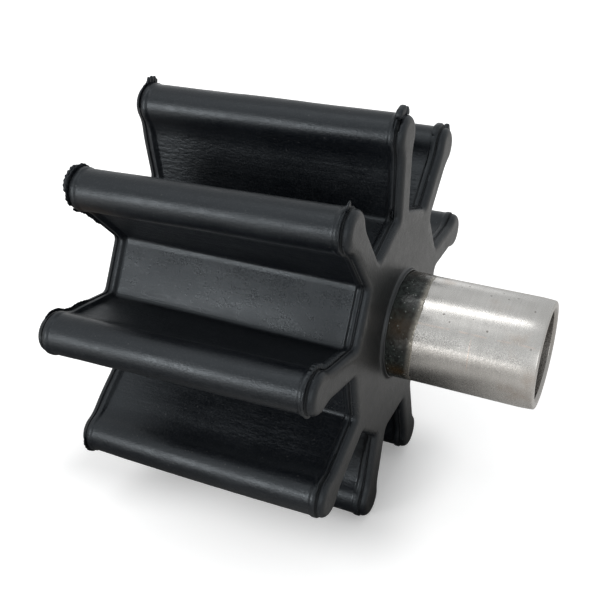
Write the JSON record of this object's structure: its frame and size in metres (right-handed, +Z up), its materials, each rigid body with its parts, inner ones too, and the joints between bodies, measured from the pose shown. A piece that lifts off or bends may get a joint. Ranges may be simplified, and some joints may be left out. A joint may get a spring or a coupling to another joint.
{
  "type": "rubber pump impeller",
  "caption": "Flexible rubber pump impeller with bulb-tipped blades around a hub bonded to a stainless drive sleeve that stands out of one end.",
  "frame": {"origin": "on the shaft axis, half way along the width of the rubber", "axes": "+Y along the shaft axis towards the sleeve's standing-out end, +Z up through the top blade, +X to the right seen from the flush end"},
  "size_m": [0.0948, 0.0948, 0.0954],
  "materials": {
    "moulded_rubber": "moulded, semi-matt, with a leathery grain",
    "stainless_steel": "turned and finely brushed round the axis",
    "bonding_agent": "thin, glossy and speckled"
  },
  "bodies": {
    "root": {"impeller_body": "moulded_rubber", "drive_sleeve": "stainless_steel", "bond_film": "bonding_agent"}
  },
  "joints": []
}
